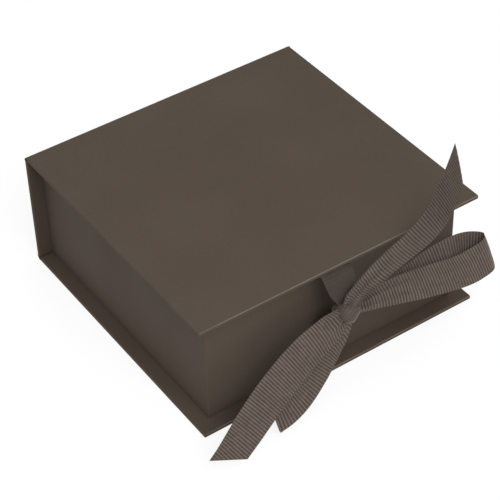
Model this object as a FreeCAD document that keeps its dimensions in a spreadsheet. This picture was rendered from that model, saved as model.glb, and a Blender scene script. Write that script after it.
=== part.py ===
import FreeCAD, Part
import math
import os
from typing import NamedTuple

import Sketcher

Vector = FreeCAD.Vector

# Driving dimensions in millimetres, and shares where the name says so
SIZES = {
    "case_width": 150.0,
    "case_depth": 146.0,
    "case_height": 63.0,
    "board": 1.5,
    "paper": 0.2,
    "turn_in": 15.0,
    "lining_margin": 3.0,
    "hinge_round": 2.2,
    "side_overhang": 7.0,
    "front_overhang": 7.5,
    "tray_board": 1.5,
    "stay_thick": 0.15,
    "stay_leg": 12.0,
    "rim_turn_in": 20.0,
    "floor_turn_in": 12.0,
    "lining_drop": 4.0,
    "ribbon_width": 16.0,
    "ribbon_thick": 0.4,
    "ribbon_room": 0.3,
    "ribbon_tab": 28.0,
    "tab_clearance": 3.4,
    "slit_drop": 17.5,
    "ribbon_shift": 4.4,
    "slot_reach": 1.5,
    "bend_radius": 1.2,
    "knot_shift": 2.7,
    "knot_drop": 23.5,
    "knot_out": 5.2,
    "knot_length": 11.0,
    "knot_band": 6.5,
    "knot_radius": 4.4,
    "knot_end_radius": 3.4,
    "knot_gap": 0.4,
    "table_gap": 0.6,
    "upper_slant": 9.4,
    "lower_slant": 12.0,
    "slant_run": 24.0,
    "upper_tail_reach": 48.6,
    "upper_tail_forward": 12.0,
    "upper_tail_rise": 66.5,
    "lower_tail_reach": 77.1,
    "lower_tail_forward": 20.4,
    "right_loop_reach": 77.2,
    "right_loop_forward": 11.2,
    "right_loop_rise": 5.0,
    "left_loop_setback": 30.7,
    "left_loop_forward": 11.8,
    "left_loop_opening": 1.5,
    "left_loop_belly": 2.2,
    "left_loop_end": 1.4,
}

# Expressions that several pieces share
HALF_WIDTH = "Sizes.case_width / 2"
HALF_DEPTH = "Sizes.case_depth / 2"
PANEL = "(Sizes.board + 2 * Sizes.paper)"
LID_BOARD_UNDER = "(Sizes.case_height - Sizes.paper - Sizes.board)"
LID_UNDER = "(Sizes.case_height - Sizes.board - 3 * Sizes.paper)"
CASE_BACK = f"({HALF_DEPTH} - Sizes.hinge_round)"
SPINE_FACE = f"({HALF_DEPTH} - {PANEL})"
SPINE_TALL = "(Sizes.case_height - 2 * Sizes.hinge_round)"
TRAY_SIDE = f"({HALF_WIDTH} - Sizes.side_overhang)"
TRAY_FRONT = f"({HALF_DEPTH} - Sizes.front_overhang)"
TRAY_TALL = f"({LID_UNDER} - {PANEL})"
SLEEVE = "(Sizes.paper + Sizes.stay_thick)"
WALL_SIDE = f"({TRAY_SIDE} - {SLEEVE})"
WALL_FRONT = f"({TRAY_FRONT} - {SLEEVE})"
WALL_BACK = f"({SPINE_FACE} - {SLEEVE})"
WALL_FOOT = f"({PANEL} + Sizes.paper)"
WALL_TALL = f"({TRAY_TALL} - 2 * Sizes.paper)"
SLOT_HALF = "(Sizes.ribbon_width / 2 + Sizes.ribbon_room)"
SLOT_LEFT = f"({SLOT_HALF} + Sizes.ribbon_shift)"
SLOT_RIGHT = f"({SLOT_HALF} - Sizes.ribbon_shift)"
LINING_FRONT = f"({HALF_DEPTH} - Sizes.lining_margin)"
TAB_BACK = f"({LINING_FRONT} - Sizes.ribbon_tab)"
REBATE = "(Sizes.ribbon_thick - Sizes.paper)"
KNOT_HEIGHT = "(Sizes.case_height - Sizes.knot_drop)"
SLIT_FOOT = f"({KNOT_HEIGHT} - Sizes.slit_drop - Sizes.ribbon_thick / 2 - Sizes.ribbon_room)"
SLIT_TALL = "(Sizes.ribbon_thick + 2 * Sizes.ribbon_room)"


class Station(NamedTuple):
    """A place on a ribbon's middle line, in shares.

    They are shares of the strand's reach to the right, of its reach forward and of its rise. The width is a
    share of the ribbon's, less than 1 where the ribbon is gathered.
    """

    right: float
    forward: float
    height: float
    width: float
    across: tuple


class Section(NamedTuple):
    """A cut across a ribbon: its middle, the ways along, across and through it, and its half width."""

    middle: Vector
    along: Vector
    across: Vector
    through: Vector
    half: float


SIDEWAYS = (1.0, 0.0, 0.0)

# The photographed run of each strand, from the knot outwards, and of the lid's ribbon down to the knot
UPPER_TAIL = [
    Station(0.014, 0.21, 0.062, 0.44, (0.62, -0.36, -0.70)),
    Station(0.030, 0.29, 0.139, 0.48, (0.48, -0.48, -0.73)),
    Station(0.072, 0.34, 0.205, 0.54, (0.20, -0.70, -0.68)),
    Station(0.145, 0.47, 0.284, 0.64, (0.05, -0.87, -0.48)),
    Station(0.301, 0.57, 0.357, 0.78, (-0.15, -0.97, -0.10)),
    Station(0.531, 0.64, 0.426, 0.9, (-0.20, -0.97, 0.00)),
    Station(0.793, 0.73, 0.535, 1.0, (-0.20, -0.97, 0.00)),
    Station(0.902, 0.83, 0.71, 1.0, (-0.25, -0.96, -0.05)),
    Station(1.0, 1.0, 1.0, 1.0, (-0.30, -0.95, -0.06)),
]
LOWER_TAIL = [
    Station(-0.039, 0.1, 1.0, 0.6, (0.30, -0.40, -0.86)),
    Station(-0.144, 0.19, 0.961, 0.86, (0.36, -0.38, -0.85)),
    Station(-0.295, 0.28, 0.866, 0.96, (0.40, -0.36, -0.83)),
    Station(-0.451, 0.41, 0.744, 1.0, (0.42, -0.36, -0.83)),
    Station(-0.628, 0.59, 0.611, 1.0, (0.42, -0.36, -0.83)),
    Station(-0.816, 0.79, 0.447, 1.0, (0.42, -0.36, -0.83)),
    Station(-1.0, 1.0, 0.3, 1.0, (0.42, -0.36, -0.83)),
]
# Out along the loop's back, round its end and home along its front
RIGHT_LOOP = [
    Station(0.068, 0.13, 0.47, 0.4, (0.10, -0.20, -0.97)),
    Station(0.209, 0.09, 0.04, 0.55, (0.10, -0.15, -0.98)),
    Station(0.398, 0.02, -0.19, 0.8, (0.10, -0.15, -0.98)),
    Station(0.615, -0.02, 0.17, 0.95, (0.10, -0.15, -0.98)),
    Station(0.804, 0.02, 0.48, 1.0, (0.10, -0.15, -0.98)),
    Station(0.953, 0.13, -0.02, 1.0, (0.10, -0.20, -0.97)),
    Station(1.0, 0.39, -0.09, 0.98, (0.20, -0.45, -0.87)),
    Station(0.954, 0.75, 0.13, 0.95, (0.10, -0.65, -0.76)),
    Station(0.856, 0.96, 0.24, 0.92, (-0.08, -0.78, -0.62)),
    Station(0.73, 1.0, 0.34, 0.9, (-0.15, -0.82, -0.55)),
    Station(0.574, 0.93, 0.68, 0.9, (-0.15, -0.82, -0.55)),
    Station(0.417, 0.77, 0.9, 0.86, (-0.15, -0.82, -0.55)),
    Station(0.263, 0.54, 0.92, 0.72, (-0.12, -0.80, -0.58)),
    Station(0.131, 0.32, 0.62, 0.5, (-0.05, -0.75, -0.65)),
    Station(0.039, 0.2, 0.48, 0.4, (0.00, -0.60, -0.80)),
]
# Along the middle of the loop, between its two sides
LEFT_LOOP = [
    Station(-0.012, 0.03, 0.93, 0.42, (0.45, -0.38, -0.80)),
    Station(-0.147, 0.15, 0.771, 0.74, (0.40, -0.38, -0.84)),
    Station(-0.299, 0.31, 0.693, 0.94, (0.42, -0.36, -0.83)),
    Station(-0.476, 0.47, 0.575, 1.0, (0.42, -0.36, -0.83)),
    Station(-0.709, 0.73, 0.433, 1.0, (0.42, -0.36, -0.83)),
    Station(-1.0, 1.0, 0.302, 1.0, (0.42, -0.36, -0.83)),
]
LID_RIBBON = [
    Station(1.0, -0.88, 0.89, 1.0, SIDEWAYS),
    Station(1.0, -0.47, 0.76, 1.0, SIDEWAYS),
    Station(0.75, -0.25, 0.47, 0.85, SIDEWAYS),
    Station(0.30, -0.24, 0.18, 0.58, SIDEWAYS),
    Station(0.0, -0.24, 0.0, 0.44, SIDEWAYS),
]
# Shares of the tray ribbon's climb to the knot, and of its width there
TRAY_RIBBON = ((0.2, 0.9), (0.45, 0.68), (0.7, 0.52), (1.0, 0.45))
# How far behind the knot's middle the tray's ribbon goes in, as a share of the knot's radius
KNOT_BACK = 0.75
STRAND_STEP = 5.0
LOOP_STEP = 2.5
LOOP_TURNS = 8
BEND_ANGLE = 0.7
BEND_TURNS = 2

doc = FreeCAD.newDocument("GiftBox")
sheet = doc.addObject("Spreadsheet::Sheet", "Sizes")
for row, (alias, value) in enumerate(SIZES.items(), start=1):
    sheet.set(f"A{row}", alias)
    sheet.set(f"B{row}", str(value))
    sheet.setAlias(f"B{row}", alias)
doc.recompute()


def size(alias):
    """Read one driving dimension back from the sheet."""
    return float(getattr(sheet, alias))


def new_body(label):
    """Start a body that carries one piece's name."""
    body = doc.addObject("PartDesign::Body", label)
    body.Label = label
    return body


def new_sketch(body, role, level="0"):
    """Lay a sketch on one of the body's own planes, lifted off it by a level."""
    plane = next(feature for feature in body.Origin.OriginFeatures if feature.Role == role)
    sketch = body.newObject("Sketcher::SketchObject", f"{body.Label}_sketch")
    sketch.AttachmentSupport = [(plane, "")]
    sketch.MapMode = "FlatFace"
    sketch.setExpression("AttachmentOffset.Base.z", level)
    return sketch


def side_constraint(sketch, kind, line, distance):
    """Hold a line's start at a distance from the sketch's origin, on the side that its sign gives."""
    if distance.startswith("-"):
        index = sketch.addConstraint(Sketcher.Constraint(kind, line, 1, -1, 1, 1.0))
    else:
        index = sketch.addConstraint(Sketcher.Constraint(kind, -1, 1, line, 1, 1.0))
    sketch.setExpression(f"Constraints[{index}]", distance.lstrip("-"))


def rectangle(sketch, left, right, low, high):
    """Draw a rectangle whose four sides are held from the sketch's origin."""
    corners = [Vector(-1, -1), Vector(2, -1), Vector(2, 2), Vector(-1, 2)]
    lines = []
    for start, end in zip(corners, corners[1:] + corners[:1]):
        lines.append(sketch.addGeometry(Part.LineSegment(start, end), False))
    bottom, side, top, other = lines
    for first, second in zip(lines, lines[1:] + lines[:1]):
        sketch.addConstraint(Sketcher.Constraint("Coincident", first, 2, second, 1))
    for line in (bottom, top):
        sketch.addConstraint(Sketcher.Constraint("Horizontal", line))
    for line in (side, other):
        sketch.addConstraint(Sketcher.Constraint("Vertical", line))
    side_constraint(sketch, "DistanceX", bottom, left)
    side_constraint(sketch, "DistanceX", side, right)
    side_constraint(sketch, "DistanceY", bottom, low)
    side_constraint(sketch, "DistanceY", top, high)


def pad(body, sketch, length, both_ways=False):
    """Raise a sketch by a length."""
    feature = body.newObject("PartDesign::Pad", f"{body.Label}_pad")
    feature.Profile = sketch
    feature.SideType = "Symmetric" if both_ways else "One side"
    feature.setExpression("Length", length)
    sketch.Visibility = False
    return feature


def pocket(body, sketch, depth):
    """Cut a sketch out of the body, upwards from the sketch."""
    feature = body.newObject("PartDesign::Pocket", f"{body.Label}_pocket")
    feature.Profile = sketch
    feature.Reversed = True
    feature.setExpression("Length", depth)
    sketch.Visibility = False
    return feature


def block(label, left, right, low, high, level, tall):
    """Make a flat piece: a rectangle seen from above, raised from a level."""
    body = new_body(label)
    sketch = new_sketch(body, "XY_Plane", level)
    rectangle(sketch, left, right, low, high)
    pad(body, sketch, tall)
    return body


def cut_block(body, left, right, low, high, level, tall):
    """Cut a rectangle seen from above out of a body, upwards from a level."""
    sketch = new_sketch(body, "XY_Plane", level)
    rectangle(sketch, left, right, low, high)
    pocket(body, sketch, tall)


def add_ring(body, outer, inner, level, tall):
    """Add a band between two rectangles seen from above."""
    sketch = new_sketch(body, "XY_Plane", level)
    rectangle(sketch, *outer)
    rectangle(sketch, *inner)
    pad(body, sketch, tall)


def inset(step):
    """The tray walls' outline, drawn in by a step."""
    side = f"({WALL_SIDE} - {step})"
    return f"-{side}", side, f"-({WALL_FRONT} - {step})", f"({WALL_BACK} - {step})"


# Case panels

def panel_board(label, level):
    """Make the greyboard of the lid or the base."""
    side = f"({HALF_WIDTH} - Sizes.paper)"
    front = f"({HALF_DEPTH} - Sizes.paper)"
    return block(label, f"-{side}", side, f"-{front}", CASE_BACK, level, "Sizes.board")


def panel_wrap(label, level, board_level, turn_level):
    """Make the covering paper of the lid or the base: a sheet folded round three edges of its board."""
    side = f"({HALF_WIDTH} - Sizes.paper)"
    front = f"({HALF_DEPTH} - Sizes.paper)"
    window_side = f"({HALF_WIDTH} - Sizes.turn_in)"
    window_front = f"({HALF_DEPTH} - Sizes.turn_in)"
    body = block(label, f"-{HALF_WIDTH}", HALF_WIDTH, f"-{HALF_DEPTH}", CASE_BACK, level, PANEL)
    cut_block(body, f"-{side}", side, f"-{front}", HALF_DEPTH, board_level, "Sizes.board")
    window = (f"-{window_side}", window_side, f"-{window_front}", HALF_DEPTH)
    cut_block(body, *window, turn_level, "Sizes.paper")
    return body


def crease(label, top):
    """Make the papers pasted together round the case's lower or upper back corner."""
    body = new_body(label)
    sketch = new_sketch(body, "YZ_Plane")
    start, end = (0.0, math.pi / 2) if top else (-math.pi / 2, 0.0)
    outer_radius = size("hinge_round")
    inner_radius = outer_radius - 2 * size("paper")
    height = size("case_height") - outer_radius if top else outer_radius
    middle = Vector(size("case_depth") / 2 - outer_radius, height)
    arcs = []
    for radius in (outer_radius, inner_radius):
        circle = Part.Circle(middle, Vector(0, 0, 1), radius)
        arcs.append(sketch.addGeometry(Part.ArcOfCircle(circle, start, end), False))
    outer, inner = arcs
    ends = []
    for place, angle in ((1, start), (2, end)):
        way = Vector(math.cos(angle), math.sin(angle))
        edge = Part.LineSegment(middle + way * inner_radius, middle + way * outer_radius)
        ends.append(sketch.addGeometry(edge, False))
        sketch.addConstraint(Sketcher.Constraint("Coincident", ends[-1], 1, inner, place))
        sketch.addConstraint(Sketcher.Constraint("Coincident", ends[-1], 2, outer, place))
    sketch.addConstraint(Sketcher.Constraint("Coincident", outer, 3, inner, 3))
    level_end, upright_end = ends if top else ends[::-1]
    sketch.addConstraint(Sketcher.Constraint("Horizontal", level_end))
    sketch.addConstraint(Sketcher.Constraint("Vertical", upright_end))
    level = "(Sizes.case_height - Sizes.hinge_round)" if top else "Sizes.hinge_round"
    for kind, first, value in (
        ("DistanceX", (-1, 1, outer, 3, middle.x), CASE_BACK),
        ("DistanceY", (-1, 1, outer, 3, middle.y), level),
        ("Radius", (outer, outer_radius), "Sizes.hinge_round"),
        ("Radius", (inner, inner_radius), "Sizes.hinge_round - 2 * Sizes.paper"),
    ):
        index = sketch.addConstraint(Sketcher.Constraint(kind, *first))
        sketch.setExpression(f"Constraints[{index}]", value)
    pad(body, sketch, "Sizes.case_width", both_ways=True)
    return body


def make_base():
    """Make the base panel and the corner where it turns up into the spine."""
    window_side = f"({HALF_WIDTH} - Sizes.turn_in)"
    window = (f"-{window_side}", window_side, f"-({HALF_DEPTH} - Sizes.turn_in)")
    turn_level = "Sizes.paper + Sizes.board"
    return [
        panel_board("base_board", "Sizes.paper"),
        panel_wrap("base_wrap", "0", "Sizes.paper", turn_level),
        block("base_lining", *window, CASE_BACK, turn_level, "Sizes.paper"),
        crease("base_crease", top=False),
    ]


def make_spine():
    """Make the spine panel, with its covering paper turned in at both ends."""
    side = f"({HALF_WIDTH} - Sizes.paper)"
    window = f"({HALF_WIDTH} - Sizes.turn_in)"
    board_front = f"({SPINE_FACE} + Sizes.paper)"
    board_back = f"({HALF_DEPTH} - Sizes.paper)"
    foot = "Sizes.hinge_round"
    board = block("spine_board", f"-{side}", side, board_front, board_back, foot, SPINE_TALL)
    wrap = block("spine_wrap", f"-{HALF_WIDTH}", HALF_WIDTH, SPINE_FACE, HALF_DEPTH, foot, SPINE_TALL)
    cut_block(wrap, f"-{side}", side, board_front, board_back, foot, SPINE_TALL)
    cut_block(wrap, f"-{window}", window, SPINE_FACE, board_front, foot, SPINE_TALL)
    lining = block("spine_lining", f"-{window}", window, SPINE_FACE, board_front, foot, SPINE_TALL)
    return [board, wrap, lining]


def make_lid():
    """Make the lid panel, rebated for its ribbon, and the paper hinge at its back edge."""
    window_side = f"({HALF_WIDTH} - Sizes.turn_in)"
    window_front = f"({HALF_DEPTH} - Sizes.turn_in)"
    margin_side = f"({HALF_WIDTH} - Sizes.lining_margin)"
    slot_front = f"({LINING_FRONT} + Sizes.slot_reach)"
    slot_back = f"({TAB_BACK} - Sizes.ribbon_room)"
    turn_level = f"({LID_UNDER} + Sizes.paper)"
    slot = (f"-{SLOT_LEFT}", SLOT_RIGHT, f"-{slot_front}", f"-{slot_back}")
    board = panel_board("lid_board", LID_BOARD_UNDER)
    cut_block(board, *slot, LID_BOARD_UNDER, REBATE)
    wrap = panel_wrap("lid_wrap", turn_level, LID_BOARD_UNDER, turn_level)
    cut_block(wrap, *slot, turn_level, "Sizes.paper")
    margin = (f"-{margin_side}", margin_side, f"-{LINING_FRONT}", CASE_BACK)
    lining = block("lid_lining", *margin, LID_UNDER, "2 * Sizes.paper")
    turned_in = new_sketch(lining, "XY_Plane", turn_level)
    rectangle(turned_in, f"-{HALF_WIDTH}", HALF_WIDTH, f"-{HALF_DEPTH}", HALF_DEPTH)
    rectangle(turned_in, f"-{window_side}", window_side, f"-{window_front}", f"({HALF_DEPTH} + Sizes.paper)")
    pocket(lining, turned_in, "Sizes.paper")
    cut_block(lining, *slot, turn_level, "Sizes.paper")
    return [board, wrap, lining, crease("lid_hinge", top=True)]


# Tray

def make_tray_boards():
    """Make the tray's floor and its four butted walls, with a slit and a rebate for the lower ribbon."""
    side_inner = f"({WALL_SIDE} - Sizes.tray_board)"
    front_inner = f"({WALL_FRONT} - Sizes.tray_board)"
    back_inner = f"({WALL_BACK} - Sizes.tray_board)"
    tab_foot = f"({WALL_FOOT} + Sizes.tray_board + Sizes.tab_clearance - Sizes.ribbon_room)"
    tab_tall = f"({SLIT_FOOT} + {SLIT_TALL} - {tab_foot})"
    rebate_front = f"({front_inner} + {REBATE})"
    upright = (WALL_FOOT, WALL_TALL)
    full_width = (f"-{WALL_SIDE}", WALL_SIDE)
    between = (f"-{front_inner}", back_inner)
    inner_width = (f"-{side_inner}", side_inner)
    floor = block("tray_floor", *inner_width, *between, WALL_FOOT, "Sizes.tray_board")
    front = block("tray_front_wall", *full_width, f"-{WALL_FRONT}", f"-{front_inner}", *upright)
    cut_block(front, f"-{SLOT_LEFT}", SLOT_RIGHT, f"-{TRAY_FRONT}", "0", SLIT_FOOT, SLIT_TALL)
    cut_block(front, f"-{SLOT_LEFT}", SLOT_RIGHT, f"-{rebate_front}", "0", tab_foot, tab_tall)
    back = block("tray_back_wall", *full_width, back_inner, WALL_BACK, *upright)
    left = block("tray_left_wall", f"-{WALL_SIDE}", f"-{side_inner}", *between, *upright)
    right = block("tray_right_wall", side_inner, WALL_SIDE, *between, *upright)
    return [floor, front, back, left, right]


def make_stays():
    """Make the four gummed stays round the tray's corners."""
    body = new_body("corner_stays")
    add_ring(body, inset("-Sizes.stay_thick"), inset("0"), WALL_FOOT, WALL_TALL)
    reach_side = f"({WALL_SIDE} - Sizes.stay_leg)"
    reach_front = f"({WALL_FRONT} - Sizes.stay_leg)"
    reach_back = f"({WALL_BACK} - Sizes.stay_leg)"
    cut_block(body, f"-{reach_side}", reach_side, f"-{HALF_DEPTH}", HALF_DEPTH, WALL_FOOT, WALL_TALL)
    cut_block(body, f"-{HALF_WIDTH}", HALF_WIDTH, f"-{reach_front}", reach_back, WALL_FOOT, WALL_TALL)
    return body


def make_tray_papers():
    """Make the tray's covering paper, turned over the rim and under the floor, and its lining."""
    outside = inset(f"-{SLEEVE}")
    inner_face = inset("Sizes.tray_board")
    skin_face = inset("(Sizes.tray_board + Sizes.paper)")
    wrap = new_body("tray_wrap")
    add_ring(wrap, outside, inset("-Sizes.stay_thick"), PANEL, TRAY_TALL)
    add_ring(wrap, outside, skin_face, f"({LID_UNDER} - Sizes.paper)", "Sizes.paper")
    add_ring(wrap, inner_face, skin_face, f"({LID_UNDER} - Sizes.rim_turn_in)", "Sizes.rim_turn_in")
    add_ring(wrap, outside, inset("Sizes.floor_turn_in"), PANEL, "Sizes.paper")
    cut_block(wrap, f"-{SLOT_LEFT}", SLOT_RIGHT, f"-{HALF_DEPTH}", f"-{WALL_FRONT}", SLIT_FOOT, SLIT_TALL)
    floor_top = f"({WALL_FOOT} + Sizes.tray_board)"
    lining_tall = f"({LID_UNDER} - Sizes.lining_drop - {floor_top})"
    lining = block("tray_lining", *skin_face, floor_top, lining_tall)
    inside = inset("(Sizes.tray_board + 2 * Sizes.paper)")
    cut_block(lining, *inside, f"({floor_top} + Sizes.paper)", lining_tall)
    return [wrap, lining]


# Ribbon

def knot_place():
    """Where the middle of the knot is."""
    out = -size("case_depth") / 2 - size("knot_out")
    return Vector(-size("knot_shift"), out, size("case_height") - size("knot_drop"))


def strand_places(stations, reach, forward, rise, start=0.0):
    """Where a strand's stations are: its heights go from a start, measured from the knot, through a rise."""
    knot = knot_place()
    places = []
    for station in stations:
        height = start + rise * station.height
        places.append(knot + Vector(reach * station.right, -forward * station.forward, height))
    return places


def make_section(middle, along, across, half):
    """Square the width up to the run and find the way through the ribbon."""
    run = Vector(along).normalize()
    width = Vector(across) - run * run.dot(across)
    width.normalize()
    return Section(middle, run, width, run.cross(width), half)


def sections_of(stations, places, slant=0.0, step_length=STRAND_STEP):
    """Walk a smooth line through the stations' places and cut the ribbon at even steps.

    A slant slides the two ends of each cut along the ribbon, more and more towards a slanting end.
    """
    curve = Part.BSplineCurve()
    curve.interpolate(Points=places)
    knots = [curve.parameter(place) for place in places]
    count = math.ceil(curve.length() / step_length)
    made = []
    for step in range(count + 1):
        at = curve.parameterAtDistance(curve.length() * step / count, curve.FirstParameter)
        lower = max(index for index in range(len(knots) - 1) if knots[index] <= at + 1e-9)
        share = (at - knots[lower]) / (knots[lower + 1] - knots[lower])
        first, second = stations[lower], stations[lower + 1]
        across = Vector(*first.across) * (1 - share) + Vector(*second.across) * share
        width = first.width * (1 - share) + second.width * share
        half = width * size("ribbon_width") / 2
        section = make_section(curve.value(at), Vector(*curve.tangent(at)[0]), across, half)
        left = curve.length() * (1 - step / count)
        slide = slant / size("ribbon_width") * max(0.0, 1 - left / size("slant_run"))
        made.append(section._replace(across=section.across - section.along * slide))
    return made


def strip_wire(section):
    """The ribbon's thin oblong at one cut."""
    side = section.across * section.half
    face = section.through * (size("ribbon_thick") / 2)
    corners = [side + face, face - side, side * -1 - face, side - face]
    places = [section.middle + corner for corner in corners]
    return Part.makePolygon(places + places[:1])


def strip(sections):
    """Loft one length of ribbon through its cuts."""
    return Part.makeLoft([strip_wire(section) for section in sections], True, True)


def loop_sections(stations, places, opening, belly, end):
    """Lead a ribbon out along one side of a loop's middle line, round its end and back along the other."""
    middle = sections_of(stations, places)
    count = len(middle) - 1
    out_side, back_side = [], []
    for step, section in enumerate(middle):
        share = step / count
        gap = opening + (end - opening) * share + belly * math.sin(math.pi * share)
        half_gap = section.through * (gap / 2)
        out_side.append(section._replace(middle=section.middle + half_gap))
        returning = section.through * -1
        back_side.append(section._replace(middle=section.middle - half_gap, through=returning))
    last = middle[-1]
    turn = []
    for part in range(1, LOOP_TURNS):
        angle = math.pi * part / LOOP_TURNS
        way = last.through * math.cos(angle) + last.along * math.sin(angle)
        turn.append(last._replace(middle=last.middle + way * (end / 2), through=way))
    return out_side + turn + back_side[::-1]


def piece(label, shape):
    """Put a finished ribbon shape into the document under its name."""
    feature = doc.addObject("Part::Feature", label)
    feature.Label = label
    feature.Shape = shape
    return feature


def make_knot():
    """Make the knot: a short barrel of ribbon wound round the strands."""
    body = new_body("bow_knot")
    sketch = new_sketch(body, "XY_Plane")
    half, band = size("knot_length") / 2, size("knot_band") / 2
    full, end = size("knot_radius"), size("knot_end_radius")
    corners = [Vector(-half, 0), Vector(half, 0), Vector(half, end)]
    corners += [Vector(band, full), Vector(-band, full), Vector(-half, end)]
    lines = []
    for start, stop in zip(corners, corners[1:] + corners[:1]):
        lines.append(sketch.addGeometry(Part.LineSegment(start, stop), False))
    for first, second in zip(lines, lines[1:] + lines[:1]):
        sketch.addConstraint(Sketcher.Constraint("Coincident", first, 2, second, 1))
    axis, right, _, top, _, left = lines
    for point in (1, 2):
        sketch.addConstraint(Sketcher.Constraint("PointOnObject", axis, point, -1))
    for line in (left, right):
        sketch.addConstraint(Sketcher.Constraint("Vertical", line))
    sketch.addConstraint(Sketcher.Constraint("Horizontal", top))
    for kind, first, value in (
        ("DistanceX", (axis, 1, -1, 1, half), "Sizes.knot_length / 2"),
        ("DistanceX", (-1, 1, axis, 2, half), "Sizes.knot_length / 2"),
        ("DistanceX", (-1, 1, top, 1, band), "Sizes.knot_band / 2"),
        ("DistanceX", (top, 2, -1, 1, band), "Sizes.knot_band / 2"),
        ("DistanceY", (right, 1, right, 2, end), "Sizes.knot_end_radius"),
        ("DistanceY", (left, 2, left, 1, end), "Sizes.knot_end_radius"),
        ("DistanceY", (-1, 1, top, 1, full), "Sizes.knot_radius"),
    ):
        index = sketch.addConstraint(Sketcher.Constraint(kind, *first))
        sketch.setExpression(f"Constraints[{index}]", value)
    turned = body.newObject("PartDesign::Revolution", "bow_knot_turned")
    turned.Profile = sketch
    turned.ReferenceAxis = (sketch, ["H_Axis"])
    turned.Angle = 360
    sketch.Visibility = False
    body.setExpression("Placement.Base.x", "-Sizes.knot_shift")
    body.setExpression("Placement.Base.y", f"-{HALF_DEPTH} - Sizes.knot_out")
    body.setExpression("Placement.Base.z", KNOT_HEIGHT)
    return body


def lid_ribbon_fall():
    """Cut the lid's ribbon between the lid's underside and the top of the knot, with its end level."""
    foot = size("knot_radius") + size("knot_gap")
    rise = size("knot_drop") - size("board") - 2 * size("paper") - foot
    drift = size("knot_shift") - size("ribbon_shift")
    fall = sections_of(LID_RIBBON, strand_places(LID_RIBBON, drift, size("knot_out"), rise, foot))
    fall[-1] = make_section(fall[-1].middle, Vector(0, 0, -1), Vector(*SIDEWAYS), fall[-1].half)
    return fall


def make_lid_ribbon():
    """Make the lid's ribbon: a tab in the rebate, a bend over the lining's edge and a gathered fall."""
    half, thick, bend = size("ribbon_width") / 2, size("ribbon_thick"), size("bend_radius")
    front = -size("case_depth") / 2 + size("lining_margin")
    under = size("case_height") - size("board") - 2 * size("paper")
    middle = Vector(-size("ribbon_shift"), front, under + thick / 2)
    forward, sideways = Vector(0, -1, 0), Vector(*SIDEWAYS)
    run = [make_section(middle - forward * size("ribbon_tab"), forward, sideways, half)]
    for turn in range(BEND_TURNS + 1):
        angle = BEND_ANGLE * turn / BEND_TURNS
        turned = Vector(0, -math.sin(angle) * bend, (math.cos(angle) - 1) * bend)
        way = Vector(0, -math.cos(angle), -math.sin(angle))
        run.append(make_section(middle + turned, way, sideways, half))
    return piece("lid_ribbon", strip(run + lid_ribbon_fall()))


def make_tray_ribbon(knot):
    """Make the tray's ribbon: a tab pasted inside the front wall and a gathered climb to the knot."""
    half, thick = size("ribbon_width") / 2, size("ribbon_thick")
    outside = -size("case_depth") / 2 + size("front_overhang")
    wall_face = outside + size("paper") + size("stay_thick") + size("tray_board")
    level = knot_place().z - size("slit_drop")
    slit = Vector(-size("ribbon_shift"), wall_face + size("paper") - thick / 2, level)
    sideways = Vector(*SIDEWAYS)
    floor_top = size("board") + 3 * size("paper") + size("tray_board")
    foot = Vector(slit.x, slit.y, floor_top + size("tab_clearance"))
    run = [make_section(foot, Vector(0, 0, 1), sideways, half)]
    for angle in (0.0, math.pi / 4, math.pi / 2):
        turned = Vector(0, thick * (math.cos(angle) - 1), thick * (math.sin(angle) - 1))
        way = Vector(0, -math.sin(angle), math.cos(angle))
        run.append(make_section(slit + turned, way, sideways, half))
    mouth = Vector(slit.x, outside, slit.z)
    run.append(make_section(mouth, Vector(0, -1, 0), sideways, half))
    climb = knot_place() + Vector(0, KNOT_BACK * size("knot_radius"), 0) - mouth
    for share, width in TRAY_RIBBON:
        run.append(make_section(mouth + climb * share, climb, sideways, half * width))
    return piece("tray_ribbon", strip(run).cut(knot.Shape))


def make_bow(knot):
    """Make the two loops and the two tails, trimmed where they go into the knot."""
    hang = knot_place().z - size("table_gap") - size("ribbon_thick") / 2
    reach, forward = size("upper_tail_reach"), size("upper_tail_forward")
    upper = strand_places(UPPER_TAIL, reach, forward, size("upper_tail_rise"))
    lower = strand_places(LOWER_TAIL, size("lower_tail_reach"), size("lower_tail_forward"), hang, -hang)
    reach, forward = size("right_loop_reach"), size("right_loop_forward")
    right = strand_places(RIGHT_LOOP, reach, forward, size("right_loop_rise"))
    reach = size("lower_tail_reach") - size("left_loop_setback")
    left = strand_places(LEFT_LOOP, reach, size("left_loop_forward"), hang, -hang)
    left_gaps = [size(f"left_loop_{part}") for part in ("opening", "belly", "end")]
    strands = {
        "bow_right_loop": sections_of(RIGHT_LOOP, right, step_length=LOOP_STEP),
        "bow_left_loop": loop_sections(LEFT_LOOP, left, *left_gaps),
        "bow_upper_tail": sections_of(UPPER_TAIL, upper, size("upper_slant")),
        "bow_lower_tail": sections_of(LOWER_TAIL, lower, size("lower_slant")),
    }
    return [piece(label, strip(sections).cut(knot.Shape)) for label, sections in strands.items()]


def check(pieces):
    """Stop if a feature failed or a piece is empty or unsound."""
    failed = [item.Name for item in doc.Objects if {"Invalid", "Error"} & set(item.State)]
    unsound = [item.Label for item in pieces if item.Shape.isNull() or not item.Shape.isValid()]
    if failed or unsound:
        raise RuntimeError(f"failed features {failed}, unsound pieces {unsound}")


def main():
    """Build every piece and write each one to its own file."""
    pieces = make_base() + make_spine() + make_lid()
    pieces += make_tray_boards() + [make_stays()] + make_tray_papers()
    knot = make_knot()
    doc.recompute()
    pieces += [knot, make_lid_ribbon(), make_tray_ribbon(knot)] + make_bow(knot)
    doc.recompute()
    check(pieces)
    os.makedirs("parts", exist_ok=True)
    for item in pieces:
        item.Shape.exportStep(f"parts/{item.Label}.step")
        print(item.Label, len(item.Shape.Solids), round(item.Shape.Volume, 2))


main()
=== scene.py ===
import logging
import math
from dataclasses import dataclass
from enum import Enum
from functools import reduce
from typing import Optional, Union

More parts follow.
